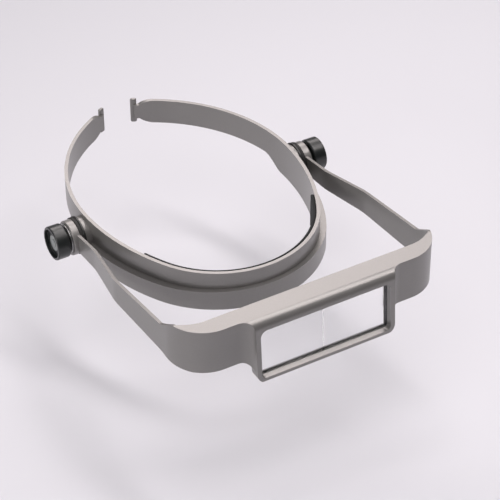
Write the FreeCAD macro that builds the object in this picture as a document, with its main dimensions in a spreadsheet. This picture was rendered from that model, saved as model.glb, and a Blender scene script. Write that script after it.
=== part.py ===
"""Head visor magnifier: an open elastic headband, a tilting visor frame and two clear lens halves.

Frame, in millimetres: the origin is the midpoint between the two pivots, on the tilt axis.
+X is the wearer's left, -Y is forward (towards the lenses), +Z is up.
"""
import FreeCAD, Part
import math
import os

import Sketcher

V = FreeCAD.Vector
X_AXIS = V(1, 0, 0)
SIDES = ((1, "left"), (-1, "right"))
BEYOND = 300.0  # further than the object reaches, for cuts that go right through

# name, millimetres (degrees where the name says angle)
SIZES = [
    # headband, seen from above: three tangent arcs on each side of the middle plane
    ("band_wall", 2.5), ("band_top", 15.2), ("band_front_centre", -41.6), ("band_front_radius", 69.4),
    ("band_side_radius", 160.5), ("band_rear_radius", 114.9), ("band_rear_centre_x", -33.7),
    ("band_rear_centre_y", 2.2), ("band_end_x", 12.4),
    # skirt under the ledge, seen from above
    ("skirt_front_centre", -38.5), ("skirt_front_radius", 75.5), ("skirt_joint_angle", 60.0),
    ("skirt_side_radius", 141.9), ("skirt_end_y", -2.0),
    # headband, seen from the side
    ("rear_depth", 19.0), ("front_depth", 27.5), ("ledge_drop_front", 12.4), ("ledge_drop_pivot", 16.2),
    ("deep_end_y", 30.0), ("step_rear", 23.0), ("step_front", 9.0), ("step_radius", 12.0),
    # strap hooks at the two rear ends
    ("hook_width", 4.7), ("hook_thick", 3.0), ("hook_height", 20.0), ("hook_set_out", 1.9),
    ("hook_round", 1.2), ("hook_neck_height", 11.3), ("hook_neck_end", 15.8), ("hook_taper_x", 19.5),
    ("hook_taper_drop", 1.3), ("hook_taper_end", 27.0),
    # pivots
    ("band_boss_radius", 12.3), ("band_boss_face", 85.0), ("band_boss_root", 79.6),
    ("stud_radius", 2.5), ("stud_head_radius", 4.6), ("stud_head_in", 79.9), ("stud_head_thick", 2.2),
    ("stud_end", 102.6), ("stud_tip", 1.0), ("running_gap", 0.05), ("shaft_gap", 0.08),
    ("backing_thick", 1.5), ("backing_radius", 13.3), ("friction_thick", 2.3), ("friction_radius", 13.0),
    ("arm_boss_face_in", 88.95), ("arm_boss_face_out", 94.2), ("arm_boss_radius", 12.3),
    ("arm_boss_round", 0.8), ("thrust_thick", 0.8), ("thrust_radius", 10.1),
    # knobs
    ("knob_radius", 12.0), ("knob_neck_radius", 8.0), ("knob_neck_in", 95.1), ("knob_body_in", 96.6),
    ("knob_hollow_radius", 10.2), ("knob_hollow_floor", 99.4), ("knob_face", 106.2),
    ("knob_dish_radius", 10.2), ("knob_dish_floor", 103.7), ("knob_rim_round", 1.0),
    ("knob_back_round", 1.3), ("insert_radius", 3.9), ("cap_seat_floor", 102.9), ("cap_radius", 5.6),
    ("cap_face", 104.3), ("cap_crest_radius", 2.9), ("cap_crest_face", 104.6), ("cap_gap", 0.03),
    # visor frame, seen from above
    ("visor_wall", 2.1), ("arm_start_y", -3.0), ("arm_root_x", 91.1), ("arm_root_y", -36.0),
    ("arm_wide_x", 97.0), ("arm_wide_y", -76.0), ("arm_bend", 60.0), ("visor_front", -173.6),
    ("visor_corner", 27.0), ("shelf_back", -160.7), ("shelf_end_y", -153.8), ("shelf_bend_x", 83.3),
    ("shelf_bend", 26.0),
    # visor frame, seen from the side: straight edges of the arms at the pivot and at their front end
    ("arm_top_pivot", 6.45), ("arm_low_pivot", -6.5), ("arm_front_y", -140.0), ("arm_top_front", 26.4),
    ("arm_low_front", 5.3), ("rise_end_y", -154.0), ("rise_round", 6.0), ("shelf_top", 35.2),
    ("shelf_thick", 2.5), ("wing_bottom", 2.7), ("wing_low_y", -166.0), ("wing_low_round", 40.0),
    # lens window
    ("lens_face", -180.8), ("lens_tilt_angle", 3.9), ("brow_radius", 6.8), ("window_half", 48.1),
    ("window_height", 36.6), ("window_round_top", 5.0), ("window_round_low", 3.0), ("post_width", 3.3),
    ("rail_height", 3.2), ("rail_depth", 7.5), ("rail_round", 1.5), ("window_cheek", 9.0),
    ("window_chin", 7.0), ("window_corner", 7.0), ("lip_depth", 4.4), ("seat_edge", 1.0),
    # lens halves and their retainer
    ("lens_thick", 1.8), ("lens_crown_radius", 180.0), ("lens_crown_inset", 1.6), ("lens_seam", 0.3),
    ("lens_edge", 0.5), ("lens_gap", 0.05), ("retainer_thick", 1.0), ("retainer_bar", 2.0),
    # brow pad
    ("pad_thick", 2.4), ("pad_gap", 0.15), ("pad_end_y", -58.0), ("pad_top_drop", 0.5), ("pad_depth", 26.5),
]

doc = FreeCAD.newDocument("head_visor_magnifier")
sheet = doc.addObject("Spreadsheet::Sheet", "sizes")
for row, (alias, value) in enumerate(SIZES, start=1):
    sheet.set("A%d" % row, alias)
    sheet.set("B%d" % row, str(value))
    sheet.setAlias("B%d" % row, alias)
doc.recompute()


def size(alias):
    return float(sheet.get(alias))


# ---------------------------------------------------------------- outlines

def unit(vector):
    return V(vector).normalize()


def rounded_edges(corners, closed=True):
    """Lines and arcs through corners (u, v, radius); a radius rounds its corner."""
    points = [V(u, v, 0) for u, v, _ in corners]
    count = len(points)
    entry, leave, arcs = [], [], []
    for i, (u, v, radius) in enumerate(corners):
        here = points[i]
        inner = closed or 0 < i < count - 1
        if not radius or not inner:
            entry.append(here)
            leave.append(here)
            continue
        back = unit(points[i - 1] - here)
        ahead = unit(points[(i + 1) % count] - here)
        half = back.getAngle(ahead) / 2
        reach = radius / math.tan(half)
        start, end = here + back * reach, here + ahead * reach
        bisector = unit(back + ahead)
        middle = here + bisector * (radius / math.sin(half) - radius)
        entry.append(start)
        leave.append(end)
        arcs.append((i, Part.Arc(start, middle, end)))
    geometry = []
    arc_at = dict(arcs)
    for i in range(count):
        if i in arc_at:
            geometry.append(arc_at[i])
        following = (i + 1) % count
        if following == 0 and not closed:
            break
        if (entry[following] - leave[i]).Length > 1e-6:
            geometry.append(Part.LineSegment(leave[i], entry[following]))
    return geometry


def offset_corners(corners, distance):
    """Shift an open path of corners sideways (positive = left of its direction), radii following."""
    points = [V(u, v, 0) for u, v, _ in corners]
    normals = []
    for a, b in zip(points, points[1:]):
        along = unit(b - a)
        normals.append(V(-along.y, along.x, 0))
    result = []
    for i, (u, v, radius) in enumerate(corners):
        before = normals[max(i - 1, 0)]
        after = normals[min(i, len(normals) - 1)]
        mean = unit(before + after)
        shifted = points[i] + mean * (distance / mean.dot(after))
        if radius:
            turn = before.cross(after).z
            radius = radius - distance if turn > 0 else radius + distance
        result.append((shifted.x, shifted.y, radius))
    return result


def band_arcs(grow):
    """Front, side and rear circles of the band's outline, and the two angles where they join.

    Angles are measured from straight ahead (-Y) towards the side; `grow` offsets the whole outline.
    """
    front = V(0, size("band_front_centre"), 0)
    rear = V(size("band_rear_centre_x"), size("band_rear_centre_y"), 0)
    front_radius, rear_radius = size("band_front_radius"), size("band_rear_radius")
    side_radius = size("band_side_radius")
    near, far = side_radius - front_radius, side_radius - rear_radius
    gap = (rear - front).Length
    along = (near ** 2 - far ** 2 + gap ** 2) / (2 * gap)
    across = math.sqrt(near ** 2 - along ** 2)
    line = unit(rear - front)
    side = front + line * along + V(-line.y, line.x, 0) * across
    first = math.atan2((front - side).x, -(front - side).y)
    second = math.atan2((rear - side).x, -(rear - side).y)
    return ((front, front_radius + grow), (side, side_radius + grow), (rear, rear_radius + grow), first, second)


def on_circle(circle, angle):
    centre, radius = circle
    return centre + V(math.sin(angle), -math.cos(angle), 0) * radius


def angle_at_y(circle, y):
    centre, radius = circle
    return math.acos((centre.y - y) / radius)


def angle_at_x(circle, x):
    centre, radius = circle
    return math.pi - math.asin((x - centre.x) / radius)


def mirror_x(point):
    return V(-point.x, point.y, point.z)


def arc_between(circle, start, end):
    return [on_circle(circle, start), on_circle(circle, (start + end) / 2), on_circle(circle, end)]


def both_sides(right, middle):
    """The right side's arcs, the middle arc, and the right side mirrored to the left."""
    left = [[mirror_x(p) for p in reversed(arc)] for arc in reversed(right)]
    return right + [middle] + left


def band_path(grow, end_x=None, end_y=None):
    """Three-point arcs from one rear end, round the front, to the other rear end."""
    front, side, rear, first, second = band_arcs(grow)
    middle = arc_between(front, first, -first)
    if end_x is None and end_y < on_circle(side, second).y:
        return both_sides([arc_between(side, angle_at_y(side, end_y), first)], middle)
    last = angle_at_y(rear, end_y) if end_x is None else angle_at_x(rear, end_x)
    return both_sides([arc_between(rear, last, second), arc_between(side, second, first)], middle)


def skirt_path(end_y):
    """Outer edge of the ledge: a front arc and a side arc that runs out to the pivot boss."""
    joint = math.radians(size("skirt_joint_angle"))
    front = (V(0, size("skirt_front_centre"), 0), size("skirt_front_radius"))
    inward = front[1] - size("skirt_side_radius")
    side = (front[0] + V(math.sin(joint), -math.cos(joint), 0) * inward, size("skirt_side_radius"))
    return both_sides([arc_between(side, angle_at_y(side, end_y), joint)], arc_between(front, joint, -joint))


def ring_geometry(outer, inner):
    """Closed outline between an outer and an inner path of arcs, joined by lines at both ends."""
    arcs = [Part.Arc(*arc) for arc in outer + inner]
    joints = [Part.LineSegment(outer[0][0], inner[0][0]), Part.LineSegment(outer[-1][2], inner[-1][2])]
    return arcs + joints


# ---------------------------------------------------------------- features

def new_body(label):
    body = doc.addObject("PartDesign::Body", label)
    body.Label = label
    return body


def new_sketch(body, name, role, offset=0.0, geometry=(), placement=None):
    """Sketch on one of the body's own origin planes, `offset` along that plane's normal."""
    sketch = body.newObject("Sketcher::SketchObject", name)
    plane = [item for item in body.Origin.OriginFeatures if item.Role == role][0]
    sketch.AttachmentSupport = [(plane, "")]
    sketch.MapMode = "FlatFace"
    sketch.AttachmentOffset = placement or FreeCAD.Placement(V(0, 0, offset), FreeCAD.Rotation())
    if geometry:
        sketch.addGeometry(list(geometry), False)
    return sketch


def bind_height(sketch, expression):
    sketch.setExpression("AttachmentOffset.Base.z", expression)


def add_circle(sketch, radius_expression):
    index = sketch.addGeometry(Part.Circle(V(0, 0, 0), V(0, 0, 1), 1.0), False)
    sketch.addConstraint(Sketcher.Constraint("Coincident", index, 3, -1, 1))
    radius = sketch.addConstraint(Sketcher.Constraint("Radius", index, 1.0))
    sketch.setExpression("Constraints[%d]" % radius, radius_expression)


def solid_feature(body, kind, name, sketch, **values):
    """Pad, Pocket or Revolution; string values are expressions on the sizes sheet."""
    feature = body.newObject("PartDesign::" + kind, name)
    feature.Profile = sketch
    for key, value in values.items():
        if isinstance(value, str) and key in ("Length", "Length2", "Angle"):
            feature.setExpression(key, value)
        else:
            setattr(feature, key, value)
    sketch.Visibility = False
    return feature


def cut_checked(body, name, sketch, **values):
    """A pocket that must remove material."""
    doc.recompute()
    before = body.Shape.Volume
    feature = solid_feature(body, "Pocket", name, sketch, **values)
    doc.recompute()
    if not body.Shape.Volume < before - 1e-3:
        raise RuntimeError("%s removes nothing" % name)
    return feature


def lathe(label, points):
    """Body turned round the X axis; points are (x, radius) pairs of sheet expressions."""
    body = new_body(label)
    sketch = new_sketch(body, label + "_profile", "XY_Plane")
    count = len(points)
    turns = [2 * math.pi * i / count for i in range(count)]
    rough = [V(math.cos(turn), 2 + math.sin(turn), 0) for turn in turns]  # the constraints place the corners
    for i in range(count):
        sketch.addGeometry(Part.LineSegment(rough[i], rough[(i + 1) % count]), False)
    for i in range(count):
        sketch.addConstraint(Sketcher.Constraint("Coincident", i, 2, (i + 1) % count, 1))
    for i, (x, radius) in enumerate(points):
        for kind, expression in (("DistanceX", x), ("DistanceY", radius)):
            index = sketch.addConstraint(Sketcher.Constraint(kind, i, 1, 1.0 + i))
            sketch.setExpression("Constraints[%d]" % index, expression)
    turned = body.newObject("PartDesign::Revolution", label + "_turned")
    turned.Profile = sketch
    turned.ReferenceAxis = (sketch, ["H_Axis"])
    turned.Angle = 360.0
    doc.recompute()
    return body


def soften(body, name, radius, wanted):
    """Round the edges of the body that `wanted` picks."""
    doc.recompute()
    shape = body.Shape
    names = ["Edge%d" % (i + 1) for i, edge in enumerate(shape.Edges) if wanted(edge)]
    if not names:
        raise RuntimeError("%s finds no edges" % name)
    base = body.Tip
    rounding = body.newObject("PartDesign::Fillet", name)
    rounding.Base = (base, names)
    rounding.setExpression("Radius", radius)
    doc.recompute()
    return rounding


def rim_at(side, place, radius):
    """Picks the circular edge of the size `radius` round the X axis at the size `place`."""
    def wanted(edge):
        box, x = edge.BoundBox, side * size(place)
        on_face = abs(box.XMin - x) < 1e-6 and abs(box.XMax - x) < 1e-6
        return on_face and abs(box.ZMax - size(radius)) < 1e-3
    return wanted


# ---------------------------------------------------------------- headband

def headband():
    body = new_body("headband")
    top, wall = size("band_top"), size("band_wall")
    low, rear_low = top - size("front_depth"), top - size("rear_depth")

    # ledge and skirt: wider than the band, trimmed to a sloping ledge by a cut from the side
    outline = ring_geometry(skirt_path(size("skirt_end_y")), band_path(-wall, end_y=size("skirt_end_y")))
    skirt_plan = new_sketch(body, "skirt_plan", "XY_Plane", geometry=outline)
    bind_height(skirt_plan, "sizes.band_top - sizes.front_depth")
    solid_feature(body, "Pad", "skirt", skirt_plan, Length="sizes.front_depth - sizes.ledge_drop_front + 1")
    ledge_front, ledge_pivot = top - size("ledge_drop_front"), top - size("ledge_drop_pivot")
    front_y = size("skirt_front_centre") - size("skirt_front_radius")
    slope_start = -size("band_boss_radius")
    slope = (ledge_front - ledge_pivot) / (front_y - slope_start)
    far_front = ledge_pivot + slope * (-BEYOND - slope_start)
    above_ledge = [(-BEYOND, BEYOND, 0), (-BEYOND, far_front, 0), (slope_start, ledge_pivot, 0),
                   (BEYOND, ledge_pivot, 0), (BEYOND, BEYOND, 0)]
    ledge_side = new_sketch(body, "ledge_side", "YZ_Plane", geometry=rounded_edges(above_ledge))
    cut_checked(body, "ledge_slope", ledge_side, Length=BEYOND, Midplane=True)

    # deep part of the plain band, which steps up behind the pivots
    outline = ring_geometry(band_path(0.0, end_y=size("deep_end_y")), band_path(-wall, end_y=size("deep_end_y")))
    deep_plan = new_sketch(body, "deep_plan", "XY_Plane", geometry=outline)
    bind_height(deep_plan, "sizes.band_top - sizes.front_depth")
    solid_feature(body, "Pad", "deep_band", deep_plan, Length="sizes.front_depth - 1")
    below_step = [(-wall, -BEYOND, 0), (-wall, low, 0), (size("step_front"), low, size("step_radius")),
                  (size("step_rear"), rear_low, size("step_radius")), (BEYOND, rear_low, 0), (BEYOND, -BEYOND, 0)]
    step_side = new_sketch(body, "step_side", "YZ_Plane", geometry=rounded_edges(below_step))
    cut_checked(body, "rear_step", step_side, Length=BEYOND, Midplane=True)

    # the full ring, open at the rear
    outline = ring_geometry(band_path(0.0, end_x=size("band_end_x")), band_path(-wall, end_x=size("band_end_x")))
    ring_plan = new_sketch(body, "ring_plan", "XY_Plane", geometry=outline)
    bind_height(ring_plan, "sizes.band_top - sizes.rear_depth")
    solid_feature(body, "Pad", "ring", ring_plan, Length="sizes.rear_depth")

    for side, name in SIDES:
        taper_end(body, side, name)
        add_hook(body, side, name)
        add_band_boss(body, side, name)
    return body


def taper_end(body, side, name):
    """The band narrows, above and below, to the neck of the strap hook."""
    middle = size("band_top") - size("rear_depth") / 2
    half, neck = size("rear_depth") / 2, size("hook_neck_height") / 2
    neck_end, taper_end_x = size("hook_neck_end"), size("hook_taper_end")
    for sign, end in ((1, "top"), (-1, "low")):
        def at(x, height):
            return V(side * x, middle + sign * height, 0)
        curve = Part.Arc(at(neck_end, neck), at(size("hook_taper_x"), half - size("hook_taper_drop")),
                         at(taper_end_x, half))
        corners = [at(taper_end_x, half), at(taper_end_x, 2 * half), at(0, 2 * half), at(0, neck),
                   at(neck_end, neck)]
        lines = [Part.LineSegment(a, b) for a, b in zip(corners, corners[1:])]
        sketch = new_sketch(body, "%s_taper_%s_plan" % (name, end), "XZ_Plane", geometry=[curve] + lines)
        bind_height(sketch, "-sizes.band_rear_radius")
        cut_checked(body, "%s_taper_%s" % (name, end), sketch, Length="sizes.band_rear_radius", Midplane=True)


def add_hook(body, side, name):
    """Upright rounded bar on the outside of the band's tip; a slotted strap end slips over it."""
    half_width, half_thick = size("hook_width") / 2, size("hook_thick") / 2
    rear = band_arcs(-size("band_wall") / 2)[2]
    angle = angle_at_x(rear, size("band_end_x"))
    out = V(math.sin(angle), -math.cos(angle), 0)
    along = V(-out.y, out.x, 0)
    centre = on_circle(rear, angle) + out * size("hook_set_out")
    straight = half_width - half_thick

    def at(u, v):
        point = centre + along * u + out * v
        return point if side > 0 else mirror_x(point)
    outline = [Part.LineSegment(at(-straight, half_thick), at(straight, half_thick)),
               Part.Arc(at(straight, half_thick), at(half_width, 0), at(straight, -half_thick)),
               Part.LineSegment(at(straight, -half_thick), at(-straight, -half_thick)),
               Part.Arc(at(-straight, -half_thick), at(-half_width, 0), at(-straight, half_thick))]
    plan = new_sketch(body, name + "_hook_plan", "XY_Plane", geometry=outline)
    bind_height(plan, "sizes.band_top - sizes.rear_depth / 2 - sizes.hook_height / 2")
    solid_feature(body, "Pad", name + "_hook", plan, Length="sizes.hook_height")
    middle = size("band_top") - size("rear_depth") / 2

    def end_rim(edge):
        box = edge.BoundBox
        level = box.ZLength < 1e-6 and abs(abs(box.ZMax - middle) - size("hook_height") / 2) < 1e-6
        return level and side * box.Center.x > 0 and box.Center.y > 0
    soften(body, name + "_hook_ends", "sizes.hook_round", end_rim)


def add_band_boss(body, side, name):
    """Round boss with the cavity that the moulded-in stud fills."""
    direction = side < 0
    boss = new_sketch(body, name + "_boss_plan", "YZ_Plane")
    bind_height(boss, "%d * sizes.band_boss_root" % side)
    add_circle(boss, "sizes.band_boss_radius")
    solid_feature(body, "Pad", name + "_boss", boss, Length="sizes.band_boss_face - sizes.band_boss_root",
                  Reversed=direction)
    for part, start, radius, length in (
            ("head", "sizes.stud_head_in", "sizes.stud_head_radius", "sizes.stud_head_thick"),
            ("shank", "sizes.stud_head_in", "sizes.stud_radius", "sizes.band_boss_face - sizes.stud_head_in")):
        hole = new_sketch(body, "%s_stud_%s_plan" % (name, part), "YZ_Plane")
        bind_height(hole, "%d * %s" % (side, start))
        add_circle(hole, radius)
        cut_checked(body, "%s_stud_%s" % (name, part), hole, Length=length, Reversed=not direction)


def brow_pad():
    body = new_body("brow_pad")
    grow = -size("band_wall") - size("pad_gap")
    outline = ring_geometry(band_path(grow, end_y=size("pad_end_y")),
                            band_path(grow - size("pad_thick"), end_y=size("pad_end_y")))
    plan = new_sketch(body, "pad_plan", "XY_Plane", geometry=outline)
    bind_height(plan, "sizes.band_top - sizes.pad_top_drop - sizes.pad_depth")
    solid_feature(body, "Pad", "foam", plan, Length="sizes.pad_depth")
    return body


# ---------------------------------------------------------------- pivots and knobs

def mirrored(side, points):
    """Profile points (x, radius) as sheet expressions, on the side given."""
    sign = "" if side > 0 else "-"
    return [("%s(%s)" % (sign, x), radius) for x, radius in points]


def ring_points(start, end, outer, inner):
    return [(start, inner), (start, outer), (end, outer), (end, inner)]


def pivot_stud(side, name):
    shank, head = "sizes.stud_radius", "sizes.stud_head_radius"
    neck = "sizes.stud_head_in + sizes.stud_head_thick"
    points = [("sizes.stud_head_in", "0"), ("sizes.stud_head_in", head), (neck, head), (neck, shank),
              ("sizes.stud_end - sizes.stud_tip", shank), ("sizes.stud_end", shank + " - sizes.stud_tip"),
              ("sizes.stud_end", "0")]
    return lathe(name + "_pivot_stud", mirrored(side, points))


def washer(side, label, start, thick, radius):
    bore = "sizes.stud_radius + sizes.shaft_gap"
    return lathe(label, mirrored(side, ring_points(start, "%s + %s" % (start, thick), radius, bore)))


def washers(side, name):
    backing = "sizes.band_boss_face + sizes.running_gap"
    friction = backing + " + sizes.backing_thick + sizes.running_gap"
    thrust = "sizes.arm_boss_face_out + sizes.running_gap"
    return [washer(side, name + "_backing_washer", backing, "sizes.backing_thick", "sizes.backing_radius"),
            washer(side, name + "_friction_washer", friction, "sizes.friction_thick", "sizes.friction_radius"),
            washer(side, name + "_thrust_washer", thrust, "sizes.thrust_thick", "sizes.thrust_radius")]


def knob(side, name):
    bore, neck = "sizes.insert_radius", "sizes.knob_neck_radius"
    points = [("sizes.knob_neck_in", bore), ("sizes.knob_neck_in", neck), ("sizes.knob_hollow_floor", neck),
              ("sizes.knob_hollow_floor", "sizes.knob_hollow_radius"),
              ("sizes.knob_body_in", "sizes.knob_hollow_radius"), ("sizes.knob_body_in", "sizes.knob_radius"),
              ("sizes.knob_face", "sizes.knob_radius"), ("sizes.knob_face", "sizes.knob_dish_radius"),
              ("sizes.knob_dish_floor", "sizes.knob_dish_radius"), ("sizes.knob_dish_floor", "sizes.cap_radius"),
              ("sizes.cap_seat_floor", "sizes.cap_radius"), ("sizes.cap_seat_floor", bore)]
    body = lathe(name + "_knob", mirrored(side, points))
    soften(body, name + "_knob_rim", "sizes.knob_rim_round", rim_at(side, "knob_face", "knob_radius"))
    soften(body, name + "_knob_back", "sizes.knob_back_round", rim_at(side, "knob_body_in", "knob_radius"))
    return body


def knob_fillings(side, name):
    """Threaded bush moulded in the knob, and the round cap that closes it."""
    bush = ring_points("sizes.knob_neck_in", "sizes.cap_seat_floor", "sizes.insert_radius",
                       "sizes.stud_radius + sizes.shaft_gap")
    rim = "sizes.cap_radius - sizes.cap_gap"
    cap = [("sizes.cap_seat_floor", "0"), ("sizes.cap_seat_floor", rim), ("sizes.cap_face", rim),
           ("sizes.cap_face", "sizes.cap_crest_radius"), ("sizes.cap_crest_face", "sizes.cap_crest_radius"),
           ("sizes.cap_crest_face", "0")]
    return [lathe(name + "_knob_insert", mirrored(side, bush)), lathe(name + "_knob_cap", mirrored(side, cap))]


# ---------------------------------------------------------------- visor frame

def visor_outline():
    """Outer path, seen from above, from the left arm round the front to the right arm."""
    half = [(size("arm_root_x"), size("arm_start_y"), 0),
            (size("arm_root_x"), size("arm_root_y"), size("arm_bend")),
            (size("arm_wide_x"), size("arm_wide_y"), size("arm_bend")),
            (size("arm_wide_x"), size("visor_front"), size("visor_corner"))]
    return half + [(-u, v, radius) for u, v, radius in reversed(half)]


def lens_plane(depth):
    """Placement on the XZ plane: `depth` behind the window's face, leaning with it, centred on it."""
    lean = FreeCAD.Rotation(X_AXIS, -size("lens_tilt_angle"))
    centre = window_centre()
    upright = FreeCAD.Placement(V(0, centre.z, -centre.y), lean)
    return upright.multiply(FreeCAD.Placement(V(0, 0, -depth), FreeCAD.Rotation()))


def face_y(z):
    """Where the leaning front face of the window stands at height z."""
    window_top = size("shelf_top") - size("brow_radius")
    return size("lens_face") - math.tan(math.radians(size("lens_tilt_angle"))) * (window_top - z)


def window_centre():
    z = size("shelf_top") - size("brow_radius") - size("window_height") / 2
    return V(0, face_y(z), z)


def visor_frame():
    body = new_body("visor_frame")
    low, top = size("arm_low_pivot") - size("arm_boss_radius"), size("shelf_top")
    outer = visor_outline()
    inner = offset_corners(outer, -size("visor_wall"))
    wall_plan = new_sketch(body, "wall_plan", "XY_Plane", offset=low, geometry=rounded_edges(outer + inner[::-1]))
    solid_feature(body, "Pad", "wall", wall_plan, Length=top - low)
    add_shelf(body)

    end_y, rise = size("arm_front_y"), size("rise_round")
    above = [(0, BEYOND, 0), (0, size("arm_top_pivot"), 0), (end_y, size("arm_top_front"), rise),
             (size("rise_end_y"), top, rise), (2 * end_y, top, 0), (2 * end_y, BEYOND, 0)]
    below = [(0, -BEYOND, 0), (0, size("arm_low_pivot"), 0),
             (end_y, size("arm_low_front"), size("wing_low_round")),
             (size("wing_low_y"), size("wing_bottom"), 0), (2 * end_y, size("wing_bottom"), 0),
             (2 * end_y, -BEYOND, 0)]
    for name, region in (("above_arms", above), ("below_arms", below)):
        sketch = new_sketch(body, name + "_side", "YZ_Plane", geometry=rounded_edges(region))
        cut_checked(body, name, sketch, Length=BEYOND, Midplane=True)

    add_window(body)
    for side, name in SIDES:
        add_arm_boss(body, side, name)
    return body


def add_shelf(body):
    """Brow shelf; its outline runs inside the wall, so that the two fuse along the wall's middle."""
    inset, end = size("visor_wall") / 2, size("shelf_end_y")
    wide = size("arm_wide_x") - inset
    half = [(size("shelf_bend_x"), size("shelf_back"), size("shelf_bend")), (wide, end, 0),
            (wide, size("visor_front") + inset, size("visor_corner") - inset)]
    outline = half + [(-u, v, radius) for u, v, radius in reversed(half)]
    plan = new_sketch(body, "shelf_plan", "XY_Plane", geometry=rounded_edges(outline))
    bind_height(plan, "sizes.shelf_top - sizes.shelf_thick")
    solid_feature(body, "Pad", "shelf", plan, Length="sizes.shelf_thick")


def add_window(body):
    """Block round the lenses that stands forward of the wall, with hollow cheeks at both sides."""
    top, front = size("shelf_top"), size("visor_front")
    half, high = size("window_half"), size("window_height") / 2
    low = top - size("brow_radius") - size("window_height") - size("rail_height")
    back, wing = front + size("visor_wall"), size("wing_bottom")
    depth, turn = size("rail_depth"), size("rail_round")
    side_view = [(back, top, 0), (face_y(top), top, size("brow_radius")), (face_y(low), low, turn),
                 (face_y(low) + depth, low, turn), (face_y(wing) + depth, wing, turn), (back, wing, 0)]
    block_side = new_sketch(body, "window_side", "YZ_Plane", geometry=rounded_edges(side_view))
    solid_feature(body, "Pad", "window_block", block_side, Midplane=True,
                  Length="2 * (sizes.window_half + sizes.post_width + sizes.window_cheek)")
    for side, name in SIDES:
        cut_cheek(body, side, name, low)
    opening = [(-half, high, size("window_round_top")), (half, high, size("window_round_top")),
               (half, -high, size("window_round_low")), (-half, -high, size("window_round_low"))]
    opening_plan = new_sketch(body, "window_opening", "XZ_Plane", geometry=rounded_edges(opening),
                              placement=lens_plane(0.0))
    cut_checked(body, "window", opening_plan, Length=4 * depth, Midplane=True)
    edge = size("seat_edge")
    seat = [(u * (half + edge), v * (high + edge), 0) for u, v in ((-1, 1), (1, 1), (1, -1), (-1, -1))]
    seat_plan = new_sketch(body, "lens_seat_plan", "XZ_Plane", geometry=rounded_edges(seat),
                           placement=lens_plane(size("lip_depth")))
    cut_checked(body, "lens_seat", seat_plan, Length=2 * depth)


def arc_corner(body, name, plane, before, curve, after):
    """Cut away the region bounded by a line path, one arc and another line path."""
    corners = before + [curve[0]], [curve[2]] + after
    lines = [Part.LineSegment(a, b) for path in corners for a, b in zip(path, path[1:])]
    lines.append(Part.LineSegment(after[-1], before[0]))
    sketch = new_sketch(body, name + "_plan", plane, geometry=[Part.Arc(*curve)] + lines)
    cut_checked(body, name, sketch, Length=2 * BEYOND, Midplane=True)


def cut_cheek(body, side, name, low):
    """Hollow curve from the wall to the block, seen from above; curved chin and corner, from the front."""
    post = size("window_half") + size("post_width")
    cheek, chin, corner = size("window_cheek"), size("window_chin"), size("window_corner")
    front, wing, clear = size("visor_front"), size("wing_bottom"), size("window_cheek") + 1
    slant = math.sqrt(0.5)

    def at(u, v):
        return V(side * (post + u), v, 0)
    arc_corner(body, name + "_cheek", "XY_Plane", [at(0, -BEYOND)],
               (at(0, front - cheek), at(cheek * (1 - slant), front - cheek * (1 - slant)), at(cheek, front)),
               [at(clear, front), at(clear, -BEYOND)])
    arc_corner(body, name + "_chin", "XZ_Plane", [at(0, low - clear)],
               (at(0, wing - chin), at(chin * (1 - slant), wing - chin * (1 - slant)), at(chin, wing)),
               [at(clear, wing), at(clear, low - clear)])
    arc_corner(body, name + "_corner", "XZ_Plane", [at(0, low - clear)],
               (at(0, low + corner), at(-corner * (1 - slant), low + corner * (1 - slant)), at(-corner, low)),
               [at(-corner, low - clear)])


def add_arm_boss(body, side, name):
    thick = "sizes.arm_boss_face_out - sizes.arm_boss_face_in"
    boss = new_sketch(body, name + "_arm_boss_plan", "YZ_Plane")
    bind_height(boss, "%d * sizes.arm_boss_face_in" % side)
    add_circle(boss, "sizes.arm_boss_radius")
    solid_feature(body, "Pad", name + "_arm_boss", boss, Reversed=side < 0, Length=thick)
    bore = new_sketch(body, name + "_arm_bore_plan", "YZ_Plane")
    bind_height(bore, "%d * sizes.arm_boss_face_in" % side)
    add_circle(bore, "sizes.stud_radius + sizes.shaft_gap")
    cut_checked(body, name + "_arm_bore", bore, Reversed=side > 0, Length=thick + " + 1")
    soften(body, name + "_arm_boss_rim", "sizes.arm_boss_round",
           rim_at(side, "arm_boss_face_out", "arm_boss_radius"))


# ---------------------------------------------------------------- lenses

def window_frame_placement():
    """Local X across, Y backwards through the glass, Z up the leaning window."""
    centre = window_centre()
    return FreeCAD.Placement(centre, FreeCAD.Rotation(X_AXIS, -size("lens_tilt_angle")))


def glass_plate(label, start_x, width, front, thick, inset):
    """Flat plate standing in the window's own frame."""
    edge = size("seat_edge") - inset
    high = size("window_height") / 2 + edge
    plate = doc.addObject("Part::Box", label)
    plate.Length, plate.Width, plate.Height = width, thick, 2 * high
    plate.Placement = FreeCAD.Placement(V(start_x, front, -high), FreeCAD.Rotation())
    return plate


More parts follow.
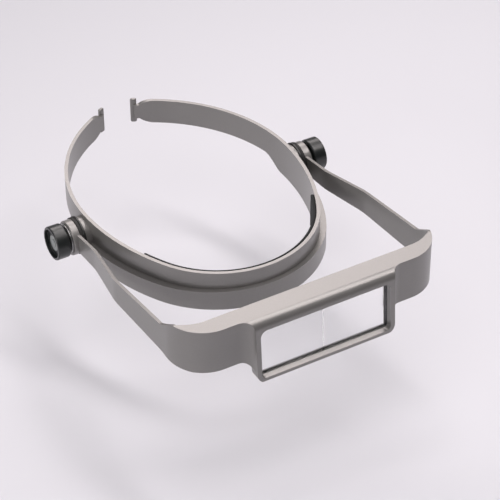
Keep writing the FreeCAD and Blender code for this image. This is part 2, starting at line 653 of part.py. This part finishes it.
def lens(side, name):
    """One lens half: a flat flange that sits in the frame and a convex front."""
    gap, half = size("lens_gap"), size("window_half")
    reach = half + size("seat_edge") - gap
    front = size("lip_depth") + gap
    flange = glass_plate(name + "_lens_flange", gap / 2 if side > 0 else -reach, reach - gap / 2, front,
                         size("lens_thick"), gap)
    radius, high = size("lens_crown_radius"), size("window_height") / 2
    clear, seam = size("lens_crown_inset"), size("lens_seam")
    middle, crown_wide = side * (half - clear + seam) / 2, (half - clear - seam) / 2
    crown_high = high - clear
    drop = radius - math.sqrt(radius ** 2 - crown_high ** 2 - crown_wide ** 2) + size("lens_edge")
    ball = doc.addObject("Part::Sphere", name + "_lens_ball")
    ball.setExpression("Radius", "sizes.lens_crown_radius")
    ball.Placement = FreeCAD.Placement(V(middle, front - drop + radius, 0), FreeCAD.Rotation())
    window = doc.addObject("Part::Box", name + "_lens_window")
    window.Length, window.Width, window.Height = 2 * crown_wide, drop + size("lens_thick") / 2, 2 * crown_high
    window.Placement = FreeCAD.Placement(V(middle - crown_wide, front - drop, -crown_high), FreeCAD.Rotation())
    block = doc.addObject("Part::Fuse", name + "_lens_block")
    block.Base, block.Tool = flange, window
    whole = doc.addObject("Part::Common", name + "_lens")
    whole.Base, whole.Tool = block, ball
    whole.Label = name + "_lens"
    whole.Placement = window_frame_placement()
    return whole


def lens_retainer():
    """Thin frame that clips in behind both lens halves."""
    gap, bar, thick = size("lens_gap"), size("retainer_bar"), size("retainer_thick")
    front = size("lip_depth") + size("lens_thick") + 2 * gap
    reach = size("window_half") + size("seat_edge") - gap
    plate = glass_plate("retainer_plate", -reach, 2 * reach, front, thick, gap)
    high = size("window_height") / 2 + size("seat_edge") - gap
    opening = doc.addObject("Part::Box", "retainer_opening")
    cut_through = 3 * thick  # one thickness beyond each face
    opening.Length, opening.Width, opening.Height = 2 * (reach - bar), cut_through, 2 * (high - bar)
    opening.Placement = FreeCAD.Placement(V(bar - reach, front - thick, bar - high), FreeCAD.Rotation())
    frame = doc.addObject("Part::Cut", "lens_retainer")
    frame.Base, frame.Tool = plate, opening
    frame.Label = "lens_retainer"
    frame.Placement = window_frame_placement()
    return frame


# ---------------------------------------------------------------- build, check, export

def build():
    nodes = [headband(), brow_pad(), visor_frame(), lens_retainer()]
    for side, name in SIDES:
        nodes.append(pivot_stud(side, name))
        nodes += washers(side, name)
        nodes.append(knob(side, name))
        nodes += knob_fillings(side, name)
        nodes.append(lens(side, name))
    doc.recompute()
    return nodes


def check_and_export(nodes):
    for item in doc.Objects:
        if "Invalid" in item.State or "Error" in item.State:
            raise RuntimeError("%s failed: %s" % (item.Label, item.State))
    os.makedirs("parts", exist_ok=True)
    for node in nodes:
        if node.Shape.isNull() or not node.Shape.isValid():
            raise RuntimeError("%s has no valid shape" % node.Label)
    for node in nodes:
        node.Shape.exportStep("parts/%s.step" % node.Label)
        print(node.Label, len(node.Shape.Solids), round(node.Shape.Volume, 1))


check_and_export(build())
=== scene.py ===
"""Looks of the head visor magnifier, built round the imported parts."""
import math

import bpy
from mathutils import Matrix, Vector


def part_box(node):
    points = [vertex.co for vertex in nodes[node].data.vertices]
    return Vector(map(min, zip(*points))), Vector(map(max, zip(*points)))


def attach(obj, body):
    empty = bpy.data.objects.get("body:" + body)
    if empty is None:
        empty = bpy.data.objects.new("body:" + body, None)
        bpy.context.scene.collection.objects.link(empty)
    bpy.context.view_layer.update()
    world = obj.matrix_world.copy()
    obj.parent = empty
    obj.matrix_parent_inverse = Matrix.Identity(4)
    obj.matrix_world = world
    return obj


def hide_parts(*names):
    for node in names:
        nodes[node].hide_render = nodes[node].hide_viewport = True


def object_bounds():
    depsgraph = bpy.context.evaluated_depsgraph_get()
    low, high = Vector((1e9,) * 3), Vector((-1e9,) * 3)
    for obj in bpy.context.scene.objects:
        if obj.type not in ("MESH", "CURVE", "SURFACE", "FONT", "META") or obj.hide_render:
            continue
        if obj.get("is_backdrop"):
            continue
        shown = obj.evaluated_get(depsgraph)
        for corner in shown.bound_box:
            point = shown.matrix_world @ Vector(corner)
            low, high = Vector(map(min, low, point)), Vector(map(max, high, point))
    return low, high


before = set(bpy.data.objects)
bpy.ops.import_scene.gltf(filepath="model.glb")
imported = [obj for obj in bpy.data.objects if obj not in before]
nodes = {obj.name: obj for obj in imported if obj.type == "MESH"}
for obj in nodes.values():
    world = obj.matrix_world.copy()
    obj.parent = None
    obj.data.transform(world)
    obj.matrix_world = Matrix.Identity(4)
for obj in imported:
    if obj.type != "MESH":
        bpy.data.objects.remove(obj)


def plain(value):
    """Nested vectors as plain lists of numbers."""
    return [plain(v) for v in value] if hasattr(value, "__len__") else float(value)


sizes = {"after_load": plain(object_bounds())}
SIDES = ("left", "right")


def placed(name, data):
    """A new object holding `data`, put in the scene."""
    holder = bpy.data.objects.new(name, data)
    bpy.context.scene.collection.objects.link(holder)
    return holder


# ---------------------------------------------------------------- material building blocks

BLOTCH_SCALE, BLOTCH_SHARE = 28.0, 0.35     # size of the broad blotches and their part in the tone
GRAIN_HEIGHT = 0.0002
GRAIN_COAT_ROUGHNESS = 0.25
DARK_STOP, LIGHT_STOP = 0.3, 0.7            # where the noise reaches the dark and the light tone


def material(name):
    """A new node material with only an output and a shader: (material, tree, shader)."""
    made = bpy.data.materials.new(name)
    made.use_nodes = True
    tree = made.node_tree
    tree.nodes.clear()
    output = tree.nodes.new("ShaderNodeOutputMaterial")
    shader = tree.nodes.new("ShaderNodeBsdfPrincipled")
    tree.links.new(shader.outputs["BSDF"], output.inputs["Surface"])
    return made, tree, shader


def plug(tree, node, **inputs):
    """Fill inputs of a node; a keyword names the input (underscores for spaces) and gives it a
    value or a socket to link."""
    for key, value in inputs.items():
        socket = node.inputs[key.replace("_", " ")]
        if isinstance(value, bpy.types.NodeSocket):
            tree.links.new(value, socket)
        else:
            socket.default_value = value


def linked(tree, kind, **inputs):
    """Add a node of this kind with its inputs filled."""
    node = tree.nodes.new(kind)
    plug(tree, node, **inputs)
    return node


def noise(tree, scale, detail, stretch=(1, 1, 1)):
    place = tree.nodes.new("ShaderNodeTexCoord").outputs["Object"]
    mapped = linked(tree, "ShaderNodeMapping", Vector=place, Scale=stretch)
    return linked(tree, "ShaderNodeTexNoise", Vector=mapped.outputs["Vector"], Scale=scale,
                  Detail=detail).outputs["Fac"]


def ramp(tree, fac, low, high):
    """Colour that runs from `low` to `high`, each a (position, colour)."""
    node = tree.nodes.new("ShaderNodeValToRGB")
    tree.links.new(fac, node.inputs["Fac"])
    for element, (position, colour) in zip(node.color_ramp.elements, (low, high)):
        element.position = position
        element.color = (*colour, 1.0)
    return node.outputs["Color"]


def grained(name, dark, light, rough, scale, relief, metallic=0.0, stretch=(1, 1, 1), coat=0.0):
    """Opaque surface: a soft blotchy tone, a fine grain in relief, a roughness that wanders."""
    made, tree, shader = material(name)
    broad = noise(tree, BLOTCH_SCALE, 2.0)
    fine = noise(tree, scale, 5.0, stretch)
    middle = linked(tree, "ShaderNodeMix", Factor=BLOTCH_SHARE, A=fine, B=broad)
    tone = ramp(tree, middle.outputs["Result"], (DARK_STOP, dark), (LIGHT_STOP, light))
    smoothest, roughest = rough
    wander = linked(tree, "ShaderNodeMapRange", Value=broad, To_Min=smoothest, To_Max=roughest)
    grain = linked(tree, "ShaderNodeBump", Height=fine, Strength=relief, Distance=GRAIN_HEIGHT)
    plug(tree, shader, Base_Color=tone, Roughness=wander.outputs["Result"], Metallic=metallic,
         Coat_Weight=coat, Coat_Roughness=GRAIN_COAT_ROUGHNESS, Normal=grain.outputs["Normal"])
    return made


def clear_acrylic(name):
    """Nearly invisible clear plastic; shadow and diffuse rays pass with only a faint cool tint."""
    made, tree, shader = material(name)
    surface = shader.outputs["BSDF"].links[0].to_socket
    tint = ramp(tree, noise(tree, 40.0, 2.0), (DARK_STOP, (0.97, 0.98, 0.99)),
                (LIGHT_STOP, (0.99, 0.99, 1.0)))
    plug(tree, shader, Base_Color=tint, Roughness=0.02, IOR=1.1, Coat_Weight=1.0,
         Coat_Roughness=0.03, Alpha=0.25, Transmission_Weight=1.0)
    passing = linked(tree, "ShaderNodeBsdfTransparent", Color=(0.95, 0.96, 0.97, 1.0))
    path = tree.nodes.new("ShaderNodeLightPath")
    either = tree.nodes.new("ShaderNodeMath")
    either.operation = "MAXIMUM"
    tree.links.new(path.outputs["Is Shadow Ray"], either.inputs[0])
    tree.links.new(path.outputs["Is Diffuse Ray"], either.inputs[1])
    mix = linked(tree, "ShaderNodeMixShader", Fac=either.outputs[0])
    tree.links.new(shader.outputs["BSDF"], mix.inputs[1])
    tree.links.new(passing.outputs["BSDF"], mix.inputs[2])
    tree.links.new(mix.outputs["Shader"], surface)
    return made


# ---------------------------------------------------------------- materials of the pieces

frame_plastic = grained("frame_plastic", (0.228, 0.222, 0.216), (0.270, 0.262, 0.255),
                        (0.27, 0.36), 2600.0, 0.10, metallic=0.4)
foam = grained("foam", (0.010, 0.011, 0.011), (0.030, 0.033, 0.034), (0.85, 0.98), 1500.0, 1.0)
retainer_plastic = grained("retainer_plastic", (0.060, 0.061, 0.061), (0.095, 0.096, 0.096),
                           (0.35, 0.5), 2000.0, 0.2)
washer_plastic = grained("washer_plastic", (0.012, 0.013, 0.013), (0.022, 0.023, 0.023),
                         (0.30, 0.42), 1800.0, 0.15)
washer_rubber = grained("washer_rubber", (0.010, 0.010, 0.010), (0.022, 0.021, 0.021),
                        (0.55, 0.75), 1800.0, 0.35)
knob_plastic = grained("knob_plastic", (0.010, 0.012, 0.012), (0.018, 0.021, 0.021),
                       (0.26, 0.36), 1500.0, 0.12, coat=0.15)
cap_plastic = grained("cap_plastic", (0.16, 0.18, 0.175), (0.24, 0.26, 0.25),
                      (0.28, 0.4), 1600.0, 0.15, coat=0.2)
stud_steel = grained("stud_steel", (0.50, 0.50, 0.51), (0.66, 0.66, 0.67),
                     (0.2, 0.34), 900.0, 0.2, metallic=1.0, stretch=(6, 1, 1))
thrust_steel = grained("thrust_steel", (0.55, 0.55, 0.55), (0.7, 0.7, 0.7),
                       (0.22, 0.34), 1200.0, 0.2, metallic=1.0, stretch=(1, 6, 6))
insert_brass = grained("insert_brass", (0.55, 0.40, 0.17), (0.72, 0.55, 0.27),
                       (0.24, 0.36), 1200.0, 0.2, metallic=1.0, stretch=(6, 1, 1))
lens_clear = clear_acrylic("lens")

# node or, for the paired nodes, the name after the side: material
MIDDLE_LOOKS = {"headband": frame_plastic, "visor_frame": frame_plastic,
                "lens_retainer": retainer_plastic, "brow_pad": foam}
PAIR_LOOKS = {"lens": lens_clear, "pivot_stud": stud_steel, "backing_washer": washer_plastic,
              "friction_washer": washer_rubber, "thrust_washer": thrust_steel,
              "knob": knob_plastic, "knob_insert": insert_brass, "knob_cap": cap_plastic}

# the same names: width in metres of the worn edge
MIDDLE_EDGES = {"headband": 0.0005, "visor_frame": 0.0006, "lens_retainer": 0.0001}
PAIR_EDGES = {"backing_washer": 0.00035, "friction_washer": 0.0005, "thrust_washer": 0.0002,
              "knob": 0.0002, "knob_cap": 0.0002, "pivot_stud": 0.0002, "knob_insert": 0.0001}
EDGE_SEGMENTS = 3
EDGE_ANGLE = math.radians(32.0)             # corners flatter than this keep their shape
LENS_SHARP = math.radians(30)
WELD_DISTANCE = 0.000002


def both_sides(middle, pair):
    """One table of every node from a table of single nodes and one of paired nodes."""
    return {**middle, **{side + "_" + name: value
                         for side in SIDES for name, value in pair.items()}}


def dress(obj, look):
    obj.data.materials.clear()
    obj.data.materials.append(look)


def smooth(obj):
    for polygon in obj.data.polygons:
        polygon.use_smooth = True


def rounded(obj, width):
    """A worn edge all round, with shading that stays flat on the flat faces."""
    weld = obj.modifiers.new("weld", "WELD")
    weld.merge_threshold = WELD_DISTANCE
    bevel = obj.modifiers.new("edges", "BEVEL")
    bevel.width = width
    bevel.segments = EDGE_SEGMENTS
    bevel.limit_method = "ANGLE"
    bevel.angle_limit = EDGE_ANGLE
    smooth(obj)
    obj.modifiers.new("normals", "WEIGHTED_NORMAL")


for name, look in both_sides(MIDDLE_LOOKS, PAIR_LOOKS).items():
    dress(nodes[name], look)
for side in SIDES:
    lens = nodes[side + "_lens"]
    smooth(lens)
    lens.data.set_sharp_from_angle(angle=LENS_SHARP)
for name, width in both_sides(MIDDLE_EDGES, PAIR_EDGES).items():
    rounded(nodes[name], width)


# ---------------------------------------------------------------- foam pad

PAD_FRONT = Vector((0.0, -0.0416))          # centre of the pad's front arc
PAD_SIDE = Vector((-0.0793, 0.0033))        # centre of the flatter arc that goes on at +X
PAD_FRONT_RADIUS, PAD_SIDE_RADIUS = 0.06675, 0.15785
PAD_JOIN = math.radians(60.5)               # where the two arcs meet, from straight ahead
PAD_END_Y = -0.058
PAD_THICK, PAD_ROUND = 0.0024, 0.0009       # thickness and the radius of the soft corners
PAD_BACK_INSET = 0.0003                     # the face on the band stops short of the edges
PAD_BELLY = 0.00012                         # how far the middle stands out past the corners
PAD_END_TAPER = 0.6                         # height lost at the ends, as a part of the depth lost
PAD_STATIONS = 96                           # sections along the strip
CORNER_STEPS, BELLY_STEPS = 6, 12           # points round a corner and up the inner face


def pad_station(along):
    """Point on the pad's outer face and the inward direction, `along` metres from the middle."""
    side, run = (1 if along >= 0 else -1), abs(along)
    front_run = PAD_FRONT_RADIUS * PAD_JOIN
    if run <= front_run:
        centre, radius, angle = PAD_FRONT, PAD_FRONT_RADIUS, run / PAD_FRONT_RADIUS
    else:
        centre, radius = PAD_SIDE, PAD_SIDE_RADIUS
        angle = PAD_JOIN + (run - front_run) / PAD_SIDE_RADIUS
    out = Vector((math.sin(angle), -math.cos(angle)))
    point = centre + out * radius
    return Vector((side * point.x, point.y)), Vector((-side * out.x, -out.y))


def pad_section(top, low, full):
    """(depth inwards, height) round the strip: flat on the band, soft corners, a slight belly."""
    middle, tall = (top + low) / 2, top - low
    points = [(0.0, low + PAD_BACK_INSET), (0.0, middle), (0.0, top - PAD_BACK_INSET)]
    turns = [math.pi / 2 * k / CORNER_STEPS for k in range(CORNER_STEPS + 1)]
    corner = [(full - PAD_ROUND * (1 - math.sin(turn)), PAD_ROUND * (1 - math.cos(turn)))
              for turn in turns]
    points += [(depth, top - inset) for depth, inset in corner]
    for k in range(1, BELLY_STEPS):
        height = top - PAD_ROUND - (tall - 2 * PAD_ROUND) * k / BELLY_STEPS
        sag = PAD_BELLY * math.cos(math.pi * (height - middle) / tall)
        points.append((full - PAD_BELLY + sag, height))
    points += [(depth, low + inset) for depth, inset in reversed(corner)]
    return points


def foam_pad():
    """The strip as one closed mesh in place of the CAD pad, between the pad's own heights."""
    low_corner, high_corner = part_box("brow_pad")
    top, low = high_corner.z, low_corner.z
    end_angle = math.acos((PAD_SIDE.y - PAD_END_Y) / PAD_SIDE_RADIUS)
    length = PAD_FRONT_RADIUS * PAD_JOIN + PAD_SIDE_RADIUS * (end_angle - PAD_JOIN)
    # the sine sets the sections closer together towards the rounded ends
    runs = [length * math.sin(math.pi / 2 * (2 * k / PAD_STATIONS - 1))
            for k in range(PAD_STATIONS + 1)]
    verts, faces = [], []
    for run in runs:
        spot, inward = pad_station(run)
        past = max(0.0, PAD_ROUND - (length - abs(run)))
        shrink = PAD_ROUND - math.sqrt(max(PAD_ROUND ** 2 - past ** 2, 0.0))
        taper = shrink * PAD_END_TAPER
        for depth, height in pad_section(top - taper, low + taper, PAD_THICK - shrink):
            place = spot + inward * depth
            verts.append((place.x, place.y, height))
    count = len(verts) // len(runs)
    for k in range(PAD_STATIONS):
        for j in range(count):
            a, b = k * count + j, k * count + (j + 1) % count
            faces.append((a, b, b + count, a + count))
    faces.append(tuple(reversed(range(count))))
    faces.append(tuple(range(PAD_STATIONS * count, (PAD_STATIONS + 1) * count)))
    mesh = bpy.data.meshes.new("brow_foam")
    mesh.from_pydata(verts, [], faces)
    mesh.update()
    pad = placed("brow_foam", mesh)
    dress(pad, foam)
    smooth(pad)
    pad.modifiers.new("normals", "WEIGHTED_NORMAL")
    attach(pad, "headband")
    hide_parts("brow_pad")


foam_pad()

# ---------------------------------------------------------------- floor

FLOOR_Z = -0.080                            # below the visor's window at its lowest tilt
FLOOR_SIZE = 8.0
FLOOR_NEAR_Y, FLOOR_FAR_Y = -0.3, 0.6       # the floor's colour is painted darker between these, a painted shade for light falling off
FLOOR_NEAR_LIT_TONE, FLOOR_FAR_SHADED_TONE = (0.760, 0.765, 0.813), (0.615, 0.620, 0.660)

floor_look, tree, shader = material("floor")
ground = linked(tree, "ShaderNodeSeparateXYZ",
                Vector=tree.nodes.new("ShaderNodeTexCoord").outputs["Object"])
distance = linked(tree, "ShaderNodeMapRange", Value=ground.outputs["Y"],
                  From_Min=FLOOR_NEAR_Y, From_Max=FLOOR_FAR_Y)
# painted shade: a lighter tone near the front and a darker one farther back stand in for the
# light's falloff on the floor
tone = ramp(tree, distance.outputs["Result"], (0.0, FLOOR_NEAR_LIT_TONE), (1.0, FLOOR_FAR_SHADED_TONE))
plug(tree, shader, Base_Color=tone, Roughness=0.18, Specular_IOR_Level=0.0)
bpy.ops.mesh.primitive_plane_add(size=FLOOR_SIZE, location=(0, 0, FLOOR_Z))
floor = bpy.context.object
floor.name = "floor"
dress(floor, floor_look)
floor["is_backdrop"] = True

# ---------------------------------------------------------------- light

OVERHEAD_DIRECTION = (0.12, 0.25, -1.0)
OVERHEAD_ENERGY = 1.1
OVERHEAD_SOFTNESS = math.radians(55.0)
OVERHEAD_COLOUR = (1.0, 0.94, 0.94)

# name, place, aimed at, width, height, watts, colour, spread in degrees
SOFT_BOXES = (
    ("rear_soft", (0.42, 1.08, 1.02), (0, -0.1, 0), 1.6, 0.65, 3.0, (1.0, 0.92, 0.91), 80),
    ("left_soft", (-1.45, -0.2, 0.38), (0, -0.1, 0), 0.8, 0.5, 0.98, (1.0, 0.97, 0.94), 60),
    ("brow_strip", (0.44, -0.02, 1.07), (0, -0.17, 0.03), 1.1, 0.2, 6.5, (1.0, 0.94, 0.93), 180),
)

SKY_BRIGHTEST = Vector((-0.45, 0.35, 0.82)).normalized()    # direction of the lightest sky
SKY_DARK_AT, SKY_LIGHT_AT = -0.2, 1.0       # cosines from that direction
SKY_DARK, SKY_LIGHT = (0.10, 0.105, 0.105), (0.93, 0.915, 0.94)
SKY_STRENGTH = 0.25


def aimed(direction):
    """Rotation of a light that shines along `direction`."""
    return Vector(direction).to_track_quat("-Z", "Y").to_euler()


overhead = bpy.data.lights.new("overhead", "SUN")
overhead.energy = OVERHEAD_ENERGY
overhead.angle = OVERHEAD_SOFTNESS
overhead.color = OVERHEAD_COLOUR
placed("overhead", overhead).rotation_euler = aimed(OVERHEAD_DIRECTION)

for name, place, target, width, height, watts, colour, spread in SOFT_BOXES:
    light = bpy.data.lights.new(name, "AREA")
    light.spread = math.radians(spread)
    light.shape = "RECTANGLE"
    light.size, light.size_y = width, height
    light.energy = watts
    light.color = colour
    holder = placed(name, light)
    holder.location = place
    holder.rotation_euler = aimed(Vector(target) - Vector(place))

world = bpy.data.worlds.new("studio")
bpy.context.scene.world = world
world.use_nodes = True
sky = world.node_tree
towards = sky.nodes.new("ShaderNodeVectorMath")
towards.operation = "DOT_PRODUCT"
sky.links.new(sky.nodes.new("ShaderNodeTexCoord").outputs["Generated"], towards.inputs[0])
towards.inputs[1].default_value = SKY_BRIGHTEST
closeness = linked(sky, "ShaderNodeMapRange", Value=towards.outputs["Value"],
                   From_Min=SKY_DARK_AT, From_Max=SKY_LIGHT_AT)
glow = ramp(sky, closeness.outputs["Result"], (0.0, SKY_DARK), (1.0, SKY_LIGHT))
plug(sky, sky.nodes["Background"], Color=glow, Strength=SKY_STRENGTH)

bpy.context.scene.view_settings.view_transform = "Standard"

# ---------------------------------------------------------------- camera

AZIMUTH, ELEVATION, ROLL = math.radians(-30.03), math.radians(37.87), math.radians(-0.23)
CAMERA_PLACE = Vector((-0.5447, -1.0271, 0.8563))
FOCAL_LENGTH, SENSOR_WIDTH = 149.2, 36.0    # millimetres
NEAR_CLIP = 0.05

back = Vector((math.sin(AZIMUTH) * math.cos(ELEVATION), -math.cos(AZIMUTH) * math.cos(ELEVATION),
               math.sin(ELEVATION)))
right = Vector((math.cos(AZIMUTH), math.sin(AZIMUTH), 0))
up = back.cross(right)
right, up = (math.cos(ROLL) * right + math.sin(ROLL) * up,
             math.cos(ROLL) * up - math.sin(ROLL) * right)
camera_data = bpy.data.cameras.new("camera")
camera_data.sensor_width = SENSOR_WIDTH
camera_data.lens = FOCAL_LENGTH
camera_data.clip_start = NEAR_CLIP
camera = placed("camera", camera_data)
turn = Matrix((right, up, back)).transposed().to_4x4()
camera.matrix_world = Matrix.Translation(CAMERA_PLACE) @ turn
bpy.context.scene.camera = camera

sizes["before_finish"] = plain(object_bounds())
